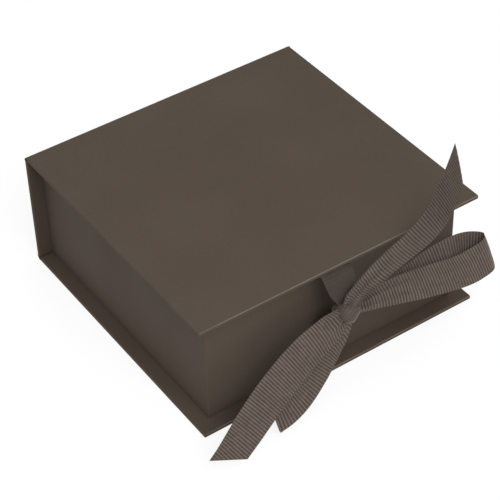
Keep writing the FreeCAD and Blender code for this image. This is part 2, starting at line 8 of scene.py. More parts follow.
import bmesh
import bpy
import numpy as np
from mathutils import Matrix, Vector


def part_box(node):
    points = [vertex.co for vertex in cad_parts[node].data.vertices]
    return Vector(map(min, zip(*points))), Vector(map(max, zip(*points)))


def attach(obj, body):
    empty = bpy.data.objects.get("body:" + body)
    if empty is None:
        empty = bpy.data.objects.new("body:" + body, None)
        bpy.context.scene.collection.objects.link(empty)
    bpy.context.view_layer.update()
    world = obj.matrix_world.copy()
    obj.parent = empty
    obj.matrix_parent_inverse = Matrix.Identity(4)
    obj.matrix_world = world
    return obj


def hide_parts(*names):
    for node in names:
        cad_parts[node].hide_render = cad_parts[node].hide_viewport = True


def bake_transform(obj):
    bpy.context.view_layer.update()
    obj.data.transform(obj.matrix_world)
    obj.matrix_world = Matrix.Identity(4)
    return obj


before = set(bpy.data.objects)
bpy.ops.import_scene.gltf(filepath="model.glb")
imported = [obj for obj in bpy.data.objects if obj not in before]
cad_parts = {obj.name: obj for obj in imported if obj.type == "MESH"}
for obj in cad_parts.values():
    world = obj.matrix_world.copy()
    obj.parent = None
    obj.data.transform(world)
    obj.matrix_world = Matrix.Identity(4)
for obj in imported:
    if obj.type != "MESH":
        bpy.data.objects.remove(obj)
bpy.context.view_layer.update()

LOG = logging.getLogger("gift_box")
MM = 0.001
WEAVE_MAP = "Weave"
Colour = tuple[float, float, float]
Triple = tuple[float, float, float]
Corners = tuple[Triple, Triple]
Numbers = tuple[float, ...]
Socket = bpy.types.NodeSocket
Node = bpy.types.Node
Tree = bpy.types.NodeTree
Material = bpy.types.Material
Piece = bpy.types.Object
Mesh = bmesh.types.BMesh
Rows = np.ndarray
Value = Union[Socket, float, tuple]
UP = Vector((0, 0, 1))
BACK = Vector((0, 1, 0))
SIDEWAYS = (1.0, 0.0, 0.0)
# The least cosine between a face's normal and the way that the face is said to look
FACING = 0.95
# The least turn at a fold, in radians
FOLD_TURN = 1.0
# Points closer than this are one point
TOUCH = 1e-6
CUT_TOLERANCE = 1e-7
# How far a window reaches past an edge that it opens
PAST_EDGE = 1.0 * MM
# The sides of the slits that the tied-on ribbons go through
SLIT_LEFT = -12.7 * MM
SLIT_RIGHT = 3.9 * MM


class Body(Enum):
    """The two moving bodies of the box."""

    TRAY = "tray"
    LID = "lid"


class Slot(Enum):
    """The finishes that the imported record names."""

    COVER = "cover_paper"
    RIBBON = "ribbon"


class WindowSide(Enum):
    """The face of a panel on which its covering paper is turned in."""

    ABOVE = 1.0
    BELOW = -1.0


class Effect(Enum):
    """The shared node groups, by name."""

    # Paler folds: partly scuffing, partly a painted highlight
    FOLD_WEAR = "Fold wear"
    PAPER_FIBRE = "Paper fibre"
    RIB_WEAVE = "Rib weave"


# Shared node work

class NodeGraph:
    """A short way to add and join the nodes of one material, group or world."""

    # A Mix node's sockets for colours come after those for numbers and vectors
    MIX_INPUTS = (6, 7)
    MIX_OUTPUT = 2

    def __init__(self, tree: Tree) -> None:
        """Keep the node tree to fill."""
        self.tree = tree

    def add(self, kind: str, **settings: object) -> Node:
        """Add one node.

        Args:
            kind: the node's Blender type.
            settings: properties of the node to set.

        Returns:
            The new node.
        """
        node = self.tree.nodes.new(kind)
        for key, value in settings.items():
            setattr(node, key, value)
        return node

    def feed(self, socket: Socket, value: Value) -> None:
        """Join a socket to another one, or set it to a plain value.

        Args:
            socket: the input to fill.
            value: an output socket, a number or a tuple.
        """
        if isinstance(value, Socket):
            self.tree.links.new(value, socket)
        else:
            socket.default_value = value

    def fill(self, node: Node, *values: Value) -> Socket:
        """Fill a node's inputs in order.

        Args:
            node: the node.
            values: what goes into each input.

        Returns:
            The node's first output.
        """
        for socket, value in zip(node.inputs, values):
            self.feed(socket, value)
        return node.outputs[0]

    def output(self, kind: str, shader: Socket) -> None:
        """Join the last shader to a new output node."""
        self.feed(self.add(kind).inputs["Surface"], shader)

    def math(self, operation: str, *values: Value, clamp: bool = False) -> Socket:
        """Work out one number from others, and keep it between 0 and 1 if it is clamped."""
        return self.fill(self.add("ShaderNodeMath", operation=operation, use_clamp=clamp), *values)

    def vector(self, operation: str, *values: Value) -> Socket:
        """Work out one vector from others."""
        return self.fill(self.add("ShaderNodeVectorMath", operation=operation), *values)

    def wave(self, operation: str, angle: Socket) -> Socket:
        """Swing between 0 and 1 with the sine or cosine of an angle."""
        return self.math("MULTIPLY_ADD", self.math(operation, angle), 0.5, 0.5)

    def weigh(self, *terms: tuple[Socket, float]) -> Socket:
        """Add numbers up, each one times its weight."""
        parts = [self.math("MULTIPLY", value, weight) for value, weight in terms]
        return reduce(lambda total, part: self.math("ADD", total, part), parts)

    def ramp(self, value: Socket, *levels: Value) -> Socket:
        """Lead a number smoothly from one level to another, as it goes from a start to a stop."""
        node = self.add("ShaderNodeMapRange", interpolation_type="SMOOTHSTEP")
        return self.fill(node, value, *levels)

    def mix(self, share: Value, first: Value, second: Value) -> Socket:
        """Mix two colours.

        Args:
            share: how much of the second one there is.
            first: the first colour or socket.
            second: the second colour or socket.

        Returns:
            The mixed colour's socket.
        """
        node = self.add("ShaderNodeMix", data_type="RGBA")
        self.feed(node.inputs[0], share)
        for index, colour in zip(self.MIX_INPUTS, (first, second)):
            self.feed(node.inputs[index], (*colour, 1.0) if isinstance(colour, tuple) else colour)
        return node.outputs[self.MIX_OUTPUT]

    def on_object(self) -> Socket:
        """Add the object's own coordinates."""
        return self.add("ShaderNodeTexCoord").outputs["Object"]

    def apart(self, vector: Socket) -> tuple[Socket, ...]:
        """Take a vector apart into its three numbers."""
        node = self.fill(self.add("ShaderNodeSeparateXYZ"), vector).node
        return tuple(node.outputs)

    def noise(self, place: Socket, scale: float, detail: float = 2.0) -> Socket:
        """Add an uneven pattern with so many features to a metre."""
        return self.fill(self.add("ShaderNodeTexNoise"), place, 0.0, scale, detail)

    def bump(self, height: Socket, strength: float, distance: float) -> Socket:
        """Raise a fine relief.

        Args:
            height: the relief.
            strength: how much of it shows.
            distance: how high it is in metres.

        Returns:
            The turned normal.
        """
        node = self.add("ShaderNodeBump")
        for name, value in (("Strength", strength), ("Distance", distance), ("Height", height)):
            self.feed(node.inputs[name], value)
        return node.outputs[0]

    def place(self, effect: Effect, **values: Value) -> dict[str, Socket]:
        """Place a shared effect.

        Args:
            effect: which one.
            values: its inputs by name, with _ for a space.

        Returns:
            Its outputs by name.
        """
        node = self.add("ShaderNodeGroup", node_tree=bpy.data.node_groups[effect.value])
        for name, value in values.items():
            self.feed(node.inputs[name.replace("_", " ")], value)
        return dict(node.outputs.items())


def new_group(effect: Effect, inputs: dict[str, str]) -> tuple[NodeGraph, dict[str, Socket]]:
    """Start a shader node group.

    Args:
        effect: which one it makes.
        inputs: the type of each input by name.

    Returns:
        Its graph, and its input sockets by name.
    """
    tree = bpy.data.node_groups.new(effect.value, "ShaderNodeTree")
    for label, kind in inputs.items():
        tree.interface.new_socket(name=label, in_out="INPUT", socket_type=kind)
    graph = NodeGraph(tree)
    start = graph.add("NodeGroupInput")
    return graph, {label: start.outputs[label] for label in inputs}


def close_group(graph: NodeGraph, **values: Socket) -> None:
    """Give a group its outputs, all numbers.

    Args:
        graph: the group's graph.
        values: the socket for each output by name.
    """
    for label in values:
        graph.tree.interface.new_socket(name=label, in_out="OUTPUT", socket_type="NodeSocketFloat")
    end = graph.add("NodeGroupOutput")
    for label, socket in values.items():
        graph.feed(end.inputs[label], socket)


class SharedGroups:
    """The effects that several finishes use, each one built once.

    A scale counts features to a metre. The stretch lays the fibres along x. A share is the first pattern's
    part in a sum of two. Levels are a ramp's start, stop and its values there.
    """

    # The noise that breaks up the paler folds, which are partly scuffing and partly a painted highlight
    RUB_AND_HIGHLIGHT_SCALE = 45.0
    RUB_AND_HIGHLIGHT_LEVELS = (0.3, 0.62, 0.35, 1.0)
    CLOUD_SCALE = 22.0
    FIBRE_SCALE = 1500.0
    FIBRE_STRETCH = (0.4, 1.0, 1.0)
    FIBRE_SHARE = 0.65
    GRAIN_SCALE = 2600.0
    HEIGHT_SHARE = 0.6
    THREAD_SCALE = 900.0
    THREAD_SHARE = 0.6

    def build(self) -> None:
        """Build the three groups."""
        for make in (self.make_fold_wear_and_highlight, self.make_paper_fibre, self.make_rib_weave):
            make()

    def make_fold_wear_and_highlight(self) -> None:
        """Find the folds of a box between two corners, broken up here and there, as a mask for paler paper
        that is partly scuffing and partly a painted highlight.
        """
        inputs = {"Low": "NodeSocketVector", "High": "NodeSocketVector", "Reach": "NodeSocketFloat"}
        graph, given = new_group(Effect.FOLD_WEAR, inputs)
        place = graph.on_object()
        from_low = graph.vector("SUBTRACT", place, given["Low"])
        from_high = graph.vector("SUBTRACT", given["High"], place)
        across, along, up = graph.apart(graph.vector("MINIMUM", from_low, from_high))
        near = graph.math("MINIMUM", across, along)
        far = graph.math("MINIMUM", graph.math("MAXIMUM", across, along), up)
        fold = graph.ramp(graph.math("MAXIMUM", near, far), 0.0, given["Reach"], 1.0, 0.0)
        rubbed_and_highlit = graph.ramp(graph.noise(place, self.RUB_AND_HIGHLIGHT_SCALE, detail=3.0), *self.RUB_AND_HIGHLIGHT_LEVELS)
        close_group(graph, Wear=graph.math("MULTIPLY", fold, rubbed_and_highlit))

    def make_paper_fibre(self) -> None:
        """Lay paper fibres one way, with grain and a slow unevenness, as a tone round 0.5 and a height."""
        graph, given = new_group(Effect.PAPER_FIBRE, {"Fineness": "NodeSocketFloat"})
        place = graph.on_object()
        scaled = graph.vector("SCALE", place)
        graph.feed(scaled.node.inputs["Scale"], given["Fineness"])
        laid = graph.vector("MULTIPLY", scaled, self.FIBRE_STRETCH)
        fibre = graph.noise(laid, self.FIBRE_SCALE, detail=4.0)
        grain = graph.noise(scaled, self.GRAIN_SCALE)
        cloud = graph.noise(place, self.CLOUD_SCALE, detail=3.0)
        height = graph.weigh((fibre, self.FIBRE_SHARE), (grain, 1.0 - self.FIBRE_SHARE))
        tone = graph.weigh((height, self.HEIGHT_SHARE), (cloud, 1.0 - self.HEIGHT_SHARE))
        close_group(graph, Tone=tone, Height=height)

    def make_rib_weave(self) -> None:
        """Draw a grosgrain ribbon's ribs across it, bound by fine threads along it, and a height."""
        inputs = {"Rib pitch": "NodeSocketFloat", "Thread pitch": "NodeSocketFloat"}
        graph, given = new_group(Effect.RIB_WEAVE, inputs)
        flat = graph.add("ShaderNodeUVMap", uv_map=WEAVE_MAP).outputs[0]
        across, along = graph.apart(flat)[:2]
        turns = graph.math("DIVIDE", along, given["Rib pitch"])
        rib = graph.wave("COSINE", graph.math("MULTIPLY", turns, math.tau))
        step = graph.math("MULTIPLY", graph.math("FLOOR", graph.math("ADD", turns, 0.5)), math.pi)
        lines = graph.math("DIVIDE", across, given["Thread pitch"])
        thread = graph.wave("SINE", graph.math("MULTIPLY_ADD", lines, math.tau, step))
        uneven = graph.noise(flat, self.THREAD_SCALE, detail=3.0)
        height = graph.weigh((thread, self.THREAD_SHARE), (uneven, 1.0 - self.THREAD_SHARE))
        close_group(graph, Rib=rib, Thread=thread, Height=height)


# Finishes

def blank_graph(owner: Union[Material, bpy.types.World]) -> NodeGraph:
    """Empty the nodes of a material or a world.

    Args:
        owner: the material or the world.

    Returns:
        Its graph, to be filled.
    """
    owner.use_nodes = True
    owner.node_tree.nodes.clear()
    return NodeGraph(owner.node_tree)


def new_material(name: str) -> tuple[Material, NodeGraph, Node]:
    """Start a material.

    Args:
        name: the material's name.

    Returns:
        The material, its graph and its shader.
    """
    material = bpy.data.materials.new(name)
    graph = blank_graph(material)
    shader = graph.add("ShaderNodeBsdfPrincipled")
    graph.output("ShaderNodeOutputMaterial", shader.outputs[0])
    return material, graph, shader


@dataclass(frozen=True)
class PaperFinish:
    """Dyed paper: fibres, a slow unevenness and, on a folded cover, paler folds that are partly scuffed paper
    and partly a painted highlight.
    """

    name: str
    dark: Colour
    light: Colour
    # The colour of the paler folds: partly scuffed paper, partly a painted highlight
    worn_and_highlit: Colour = (0.3, 0.25, 0.2)
    fineness: float = 1.0
    tone_levels: Numbers = (0.34, 0.66, 0.0, 1.0)
    wear: float = 0.0
    reach: float = 0.45 * MM
    roughness: float = 0.72
    unevenness: float = 0.05
    gloss: float = 0.15
    bump: float = 0.14
    bump_height: float = 0.03 * MM

    def material(self, label: str = "", folds: Optional[Corners] = None) -> Material:
        """Make the finish for one piece.

        Args:
            label: what to add to the material's name.
            folds: the low and high corners of the box whose edges are lightened, partly as scuffing and
                partly as a painted highlight.

        Returns:
            The material.
        """
        material, graph, shader = new_material(f"{self.name}{label}")
        fibre = graph.place(Effect.PAPER_FIBRE, Fineness=self.fineness)
        tone = graph.ramp(fibre["Tone"], *self.tone_levels)
        colour = graph.mix(tone, self.dark, self.light)
        # Paler paper along the fold: partly scuffing, partly a painted highlight on the lit edge
        if folds is not None:
            wear = graph.place(Effect.FOLD_WEAR, Low=folds[0], High=folds[1], Reach=self.reach)
            share = graph.math("MULTIPLY", wear["Wear"], self.wear, clamp=True)
            colour = graph.mix(share, colour, self.worn_and_highlit)
        rough = graph.ramp(tone, 0.0, 1.0, self.roughness + self.unevenness, self.roughness - self.unevenness)
        graph.feed(shader.inputs["Base Color"], colour)
        graph.feed(shader.inputs["Roughness"], rough)
        shader.inputs["Specular IOR Level"].default_value = self.gloss
        graph.feed(shader.inputs["Normal"], graph.bump(fibre["Height"], self.bump, self.bump_height))
        return material


@dataclass(frozen=True)
class BoardFinish:
    """Greyboard: pressed waste paper with darker specks."""

    name: str = "Greyboard"
    base: Colour = (0.28, 0.27, 0.25)
    speck: Colour = (0.13, 0.12, 0.11)
    fineness: float = 0.5
    tone_levels: Numbers = (0.3, 0.7, 0.0, 0.35)
    rough_levels: Numbers = (0.0, 0.35, 0.9, 0.8)
    speck_scale: float = 1400.0
    speck_levels: Numbers = (0.62, 0.7, 0.0, 0.8)
    bump: float = 0.4
    bump_height: float = 0.06 * MM

    def material(self) -> Material:
        """Make the finish.

        Returns:
            The material.
        """
        material, graph, shader = new_material(self.name)
        fibre = graph.place(Effect.PAPER_FIBRE, Fineness=self.fineness)
        specks = graph.ramp(graph.noise(graph.on_object(), self.speck_scale, detail=1.0), *self.speck_levels)
        tone = graph.ramp(fibre["Tone"], *self.tone_levels)
        ground = graph.mix(tone, self.base, self.speck)
        graph.feed(shader.inputs["Base Color"], graph.mix(specks, ground, self.speck))
        graph.feed(shader.inputs["Roughness"], graph.ramp(tone, *self.rough_levels))
        graph.feed(shader.inputs["Normal"], graph.bump(fibre["Height"], self.bump, self.bump_height))
        return material


@dataclass(frozen=True)
class RibbonFinish:
    """Grosgrain: pale rib crests, dark grooves and fine binding threads. The crest and groove colours are
    partly the weave's own tone and partly painted highlight on the crests and painted shade in the grooves.

    The ribbing, threading, grain and fading are how far each of them moves the tone from groove to crest.
    The relief is the share of the ribbon's thickness that the grooves take away.
    """

    name: str = "Grosgrain ribbon"
    crest: Colour = (0.163, 0.127, 0.104)
    groove: Colour = (0.046, 0.0335, 0.027)
    rib_pitch: float = 1.4 * MM
    thread_pitch: float = 0.45 * MM
    ribbing: float = 0.85
    threading: float = 0.25
    grain: float = 0.5
    grain_scale: float = 520.0
    fading: float = 0.35
    fading_scale: float = 110.0
    relief: float = 0.55
    roughness: float = 0.6
    groove_roughness: float = 0.8
    gloss: float = 0.25
    sheen: float = 0.7
    sheen_roughness: float = 0.35
    sheen_tint: Colour = (0.6, 0.5, 0.42)
    bump: float = 0.5
    bump_height: float = 0.04 * MM

    def material(self) -> Material:
        """Make the finish.

        Returns:
            The material.
        """
        material, graph, shader = new_material(self.name)
        weave = graph.place(Effect.RIB_WEAVE, Rib_pitch=self.rib_pitch, Thread_pitch=self.thread_pitch)
        place = graph.on_object()
        # The rib term is partly the weave's own tone, partly painted shade in the grooves and painted
        # highlight on the crests
        terms = (
            (weave["Rib"], self.ribbing),
            (weave["Thread"], self.threading),
            (graph.noise(place, self.grain_scale), self.grain),
            (graph.noise(place, self.fading_scale, detail=3.0), self.fading),
        )
        middle = 0.5 - sum(weight for value, weight in terms) / 2
        share = graph.math("ADD", graph.weigh(*terms), middle, clamp=True)
        rough = graph.ramp(share, 0.0, 1.0, self.groove_roughness, self.roughness)
        graph.feed(shader.inputs["Base Color"], graph.mix(share, self.groove, self.crest))
        graph.feed(shader.inputs["Roughness"], rough)
        shader.inputs["Specular IOR Level"].default_value = self.gloss
        shader.inputs["Sheen Weight"].default_value = self.sheen
        shader.inputs["Sheen Roughness"].default_value = self.sheen_roughness
        shader.inputs["Sheen Tint"].default_value = (*self.sheen_tint, 1.0)
        graph.feed(shader.inputs["Normal"], graph.bump(weave["Height"], self.bump, self.bump_height))
        return material


# Meshes

def add_object(name: str, data: bpy.types.ID) -> Piece:
    """Put a mesh, a camera or a lamp into the scene.

    Args:
        name: the object's name.
        data: what it holds.

    Returns:
        The new object.
    """
    new = bpy.data.objects.new(name, data)
    bpy.context.scene.collection.objects.link(new)
    return new


def add_piece(name: str, bm: Mesh, material: Material, sharp: float = 40.0) -> Piece:
    """Turn a bmesh into a piece of the scene.

    Args:
        name: the piece's name.
        bm: its mesh, which is used up.
        material: its finish.
        sharp: the angle in degrees past which an edge stays sharp.

    Returns:
        The new object.
    """
    for face in bm.faces:
        face.smooth = True
    mesh = bpy.data.meshes.new(name)
    bm.to_mesh(mesh)
    bm.free()
    mesh.set_sharp_from_angle(angle=math.radians(sharp))
    mesh.materials.append(material)
    LOG.info("%s: %d faces", name, len(mesh.polygons))
    return add_object(name, mesh)


def faces_facing(bm: Mesh, way: Vector) -> list[bmesh.types.BMFace]:
    """Find the faces that look one way."""
    bm.normal_update()
    return [face for face in bm.faces if face.normal.dot(way) > FACING]


def cut_window(bm: Mesh, way: Vector, low: Vector, high: Vector) -> None:
    """Cut a straight-sided window out of the faces that look one way.

    Args:
        bm: the mesh.
        way: the direction in which the faces look, along one axis.
        low: the window's lowest corner.
        high: its highest corner.
    """
    axes = [axis for axis in range(3) if not way[axis]]
    for axis in axes:
        normal = Vector((axis == 0, axis == 1, axis == 2))
        for corner in (low, high):
            faces = faces_facing(bm, way)
            edges = dict.fromkeys(edge for face in faces for edge in face.edges)
            verts = dict.fromkeys(vert for face in faces for vert in face.verts)
            geometry = [*verts, *edges, *faces]
            bmesh.ops.bisect_plane(bm, geom=geometry, dist=CUT_TOLERANCE, plane_co=corner, plane_no=normal)
    inside = []
    for face in faces_facing(bm, way):
        middle = face.calc_center_median()
        if all(low[axis] < middle[axis] < high[axis] for axis in axes):
            inside.append(face)
    bmesh.ops.delete(bm, geom=inside, context="FACES")


# Covers

@dataclass
class Cover:
    """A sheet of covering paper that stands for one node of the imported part."""

    name: str
    node: str
    label: str
    finish: PaperFinish
    body: Body = Body.TRAY
    paper: float = 0.2 * MM
    fold_radius: float = 0.45 * MM
    turn_in: float = 15.0 * MM
    press_inset: float = 0.5 * MM

    def __post_init__(self) -> None:
        """Read the corners of the box that the node fills."""
        self.low, self.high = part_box(self.node)

    def fold(self) -> Mesh:
        """Fold the sheet, in each kind of cover's own way."""
        raise NotImplementedError

    def rubbed_and_highlit(self) -> Optional[Corners]:
        """The corners of the box whose edges are lightened as scuffing and painted highlight, if any are."""
        return None

    def box(self) -> Mesh:
        """Make the plain box that the node fills, to be folded and cut.

        Returns:
            The new bmesh.
        """
        bm = bmesh.new()
        middle, size = (self.low + self.high) / 2, self.high - self.low
        bmesh.ops.create_cube(bm, size=1.0, matrix=Matrix.LocRotScale(middle, None, size))
        return bm

    def round_folds(self, bm: Mesh, edges: list[bmesh.types.BMEdge]) -> None:
        """Round the folds of the sheet."""
        bmesh.ops.bevel(
            bm, geom=edges, offset=self.fold_radius, offset_type="OFFSET", affect="EDGES",
            segments=3, profile=0.5, material=-1, clamp_overlap=True,
        )

    def press_over(self, bm: Mesh, way: Vector) -> None:
        """Press the sheet over the end of its board that looks one way, where the board meets the hinge.

        Args:
            bm: the sheet's mesh.
            way: the way in which the end looks.
        """
        end = faces_facing(bm, way)
        bmesh.ops.inset_region(bm, faces=end, thickness=self.press_inset, use_even_offset=True)
        corners = {vert for face in end for vert in face.verts}
        bmesh.ops.translate(bm, vec=way * self.paper, verts=list(corners))

    def fit(self, piece: Piece) -> None:
        """Give the sheet its thickness on the inside, keep its flats flat and set it on its body.

        Args:
            piece: the sheet.
        """
        solid = piece.modifiers.new("Paper", "SOLIDIFY")
        solid.thickness = self.paper
        solid.offset = -1.0
        solid.use_even_offset = True
        flats = piece.modifiers.new("Flats", "WEIGHTED_NORMAL")
        flats.keep_sharp = True
        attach(piece, self.body.value)

    def build(self) -> None:
        """Make the sheet in place of its node."""
        material = self.finish.material(f" {self.label}", self.rubbed_and_highlit())
        piece = add_piece(self.name, self.fold(), material)
        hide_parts(self.node)
        self.fit(piece)


@dataclass
class PanelCover(Cover):
    """The covering paper of the lid or the base, folded round three edges of its board."""

    window: WindowSide = WindowSide.ABOVE
    slit: Optional[Corners] = None

    def rubbed_and_highlit(self) -> Optional[Corners]:
        """The corners of a box on which only the panel's upper front fold is an edge, the lit fold that takes
        the painted highlight.
        """
        return (-1.0, self.low.y, -1.0), (1.0, 1.0, self.high.z)

    def fold(self) -> Mesh:
        """Fold the sheet, press it over the board's back end and open its turned-in side.

        Returns:
            The folded sheet.
        """
        bm = self.box()
        folds = [edge for edge in bm.edges if any(vert.co.y < 0 for vert in edge.verts)]
        self.round_folds(bm, folds)
        self.press_over(bm, BACK)
        way = UP * self.window.value
        margin = Vector((self.turn_in, self.turn_in, 0))
        cut_window(bm, way, self.low + margin, self.high + Vector((-self.turn_in, PAST_EDGE, 0)))
        if self.slit is not None:
            cut_window(bm, way, *map(Vector, self.slit))
        return bm


@dataclass
class SpineCover(Cover):
    """The covering paper of the spine, turned in at its two ends."""

    def fold(self) -> Mesh:
        """Fold the sheet round the board's upright ends and press it over the top.

        Returns:
            The folded sheet.
        """
        bm = self.box()
        bmesh.ops.delete(bm, geom=faces_facing(bm, -UP), context="FACES_ONLY")
        upright = [edge for edge in bm.edges if abs(edge.verts[0].co.z - edge.verts[1].co.z) > TOUCH]
        self.round_folds(bm, upright)
        self.press_over(bm, UP)
        inner = Vector((self.turn_in, 0, -PAST_EDGE))
        cut_window(bm, -BACK, self.low + inner, self.high - inner)
        return bm


@dataclass
class HingePaper(Cover):
    """The two papers, pasted together, that bend where the lid meets the spine."""

    columns: int = 16
    steps: int = 12

    def fold(self) -> Mesh:
        """Spin the sheet round the case's upper back corner.

        Returns:
            The rounded sheet, as thick as both papers.
        """
        low, high = self.low, self.high
        centre = Vector((0, low.y, low.z))
        bm = bmesh.new()
        ends = [bm.verts.new((x, high.y, low.z)) for x in np.linspace(low.x, high.x, self.columns)]
        edges = [bm.edges.new(pair) for pair in zip(ends, ends[1:])]
        bmesh.ops.spin(
            bm, geom=ends + edges, cent=centre, axis=Vector(SIDEWAYS), angle=math.pi / 2, steps=self.steps,
        )
        for face in bm.faces:
            middle = face.calc_center_median() - centre
            face.normal_update()
            if face.normal.dot(Vector((0, middle.y, middle.z))) < 0:
                face.normal_flip()
        bmesh.ops.solidify(bm, geom=bm.faces[:], thickness=2 * self.paper)
        return bm

    def fit(self, piece: Piece) -> None:
        """Bake the sheet's place into its mesh, on neither the tray's body nor the lid."""
        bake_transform(piece)


@dataclass
class TrayCover(Cover):
    """The tray's covering paper, turned over the rim and under the floor."""

    rim: float = 2.05 * MM
    rim_turn_in: float = 20.0 * MM
    floor_turn_in: float = 12.35 * MM
    slit: Corners = ((SLIT_LEFT, 0.0, 21.5 * MM), (SLIT_RIGHT, 0.0, 22.5 * MM))

    def fold(self) -> Mesh:
        """Fold the sheet, round its folds and cut the ribbon's slit.

        Returns:
            The folded sheet.
        """
        bm = self.box()
        top = faces_facing(bm, UP)
        bottom = faces_facing(bm, -UP)
        bmesh.ops.inset_region(bm, faces=top, thickness=self.rim, use_even_offset=True)
        bmesh.ops.inset_region(bm, faces=bottom, thickness=self.floor_turn_in, use_even_offset=True)
        bmesh.ops.delete(bm, geom=bottom, context="FACES")
        raised = bmesh.ops.extrude_face_region(bm, geom=top)["geom"]
        lowered = [item for item in raised if isinstance(item, bmesh.types.BMVert)]
        bmesh.ops.translate(bm, vec=(0, 0, -self.rim_turn_in), verts=lowered)
        inner = [item for item in raised if isinstance(item, bmesh.types.BMFace)]
        bmesh.ops.delete(bm, geom=inner + top, context="FACES")
        folds = [edge for edge in bm.edges if edge.is_manifold and edge.calc_face_angle(0.0) > FOLD_TURN]
        self.round_folds(bm, folds)
        cut_window(bm, -BACK, *map(Vector, self.slit))
        return bm


# Ribbon

def unit(rows: Rows) -> Rows:
    """Give every row a length of one."""
    return rows / np.linalg.norm(rows, axis=-1, keepdims=True)


def squared(across: Rows, way: Rows) -> Rows:
    """Turn the ways across a ribbon square to the ways along it."""
    return unit(across - way * np.sum(across * way, axis=-1, keepdims=True))


def side_view(y: Rows, z: Rows) -> Rows:
    """Make rows that go back and up but not sideways."""
    return np.stack((np.zeros_like(y), y, z), axis=-1)


def read_rows(at: Rows, marks: Rows, rows: Rows) -> Rows:
    """Read rows between the marks that they are given for."""
    return np.stack([np.interp(at, marks, column) for column in rows.T], axis=1)


@dataclass(frozen=True)
class Station:
    """A place on a ribbon's middle line, in shares of its reach right and forward and of its rise."""

    right: float
    forward: float
    height: float
    width: float
    across: Triple


@dataclass
class Run:
    """A ribbon's middle line, close up: places, the ways across and shares of the full width."""

    places: Rows
    across: Rows
    width: Rows

    @classmethod
    def even(cls, places: Rows, across: Rows, width: Union[float, Rows] = 1.0) -> "Run":
        """Make a run with one way across and its shares of the full width, or one share."""
        return cls(places, np.tile(across, (len(places), 1)), np.full(len(places), width))

    def joined(self, other: "Run") -> "Run":
        """Lead this run on into another one."""
        pairs = zip(vars(self).values(), vars(other).values())
        return Run(*(np.concatenate(pair) for pair in pairs))

    def distances(self) -> Rows:
        """How far along the run each place is, in metres."""
        steps = np.linalg.norm(np.diff(self.places, axis=0), axis=1)
        return np.concatenate(([0.0], np.cumsum(steps)))

    def ways(self) -> Rows:
        """The direction of the run at each place."""
        return unit(np.gradient(self.places, self.distances(), axis=0))

    def end_way(self) -> Rows:
        """The direction in which the run ends."""
        return unit(self.places[-1] - self.places[-2])

    def lengthened(self, more: float) -> "Run":
        """Lead the run straight on past its end, by some metres more."""
        further = self.places[-1:] + self.end_way() * more
        return self.joined(Run(further, self.across[-1:], self.width[-1:]))


@dataclass(frozen=True)
class Gather:
    """How a ribbon is drawn together near the knot, and how it bows and wavers.

    The pleats and the skew grow as the ribbon is gathered. A slant is how much further one edge reaches at
    the ribbon's cut end.
    """

    pleat: float = 1.2 * MM
    folds: float = 2.5
    phase: float = 0.3
    skew: float = 2.0 * MM
    bow: float = 0.25 * MM
    waver: float = 0.2 * MM
    curl: float = 0.0
    slant: float = 0.0


def smooth_line(points: Rows, count: int, end_points: int = 4) -> tuple[Rows, Rows]:
    """Lead a smooth line through points, spaced by the distances between them.

    Args:
        points: the points, one to a row.
        count: how many places to give.
        end_points: how many points the slope at either end is read from.

    Returns:
        The places on the line, and where each one is, counted in points.
    """
    gaps = np.linalg.norm(np.diff(points, axis=0), axis=1)
    knots = np.concatenate(([0.0], np.cumsum(gaps)))
    total = len(points)
    few = min(end_points, total)
    ends = []
    for part, at in ((slice(0, few), knots[0]), (slice(total - few, total), knots[-1])):
        fits = [np.polyfit(knots[part] - at, points[part, axis], few - 1) for axis in range(3)]
        ends.append([fit[-2] for fit in fits])
    system, right = np.eye(total), np.zeros((total, 3))
    right[0], right[-1] = ends
    for i in range(1, total - 1):
        before, after = gaps[i - 1], gaps[i]
        system[i, i - 1:i + 2] = after, 2 * (before + after), before
        rise_before, rise_after = points[i] - points[i - 1], points[i + 1] - points[i]
        right[i] = 3 * (after / before * rise_before + before / after * rise_after)
    slopes = np.linalg.solve(system, right)
    at = np.linspace(0.0, knots[-1], count)
    index = np.clip(np.searchsorted(knots, at, side="right") - 1, 0, total - 2)
    gap = gaps[index][:, None]
    share = ((at - knots[index]) / gaps[index])[:, None]
    rest = 1 - share
    first = points[index] * (1 + 2 * share) + slopes[index] * gap * share
    second = points[index + 1] * (1 + 2 * rest) - slopes[index + 1] * gap * rest
    return first * rest ** 2 + second * share ** 2, index + share[:, 0]


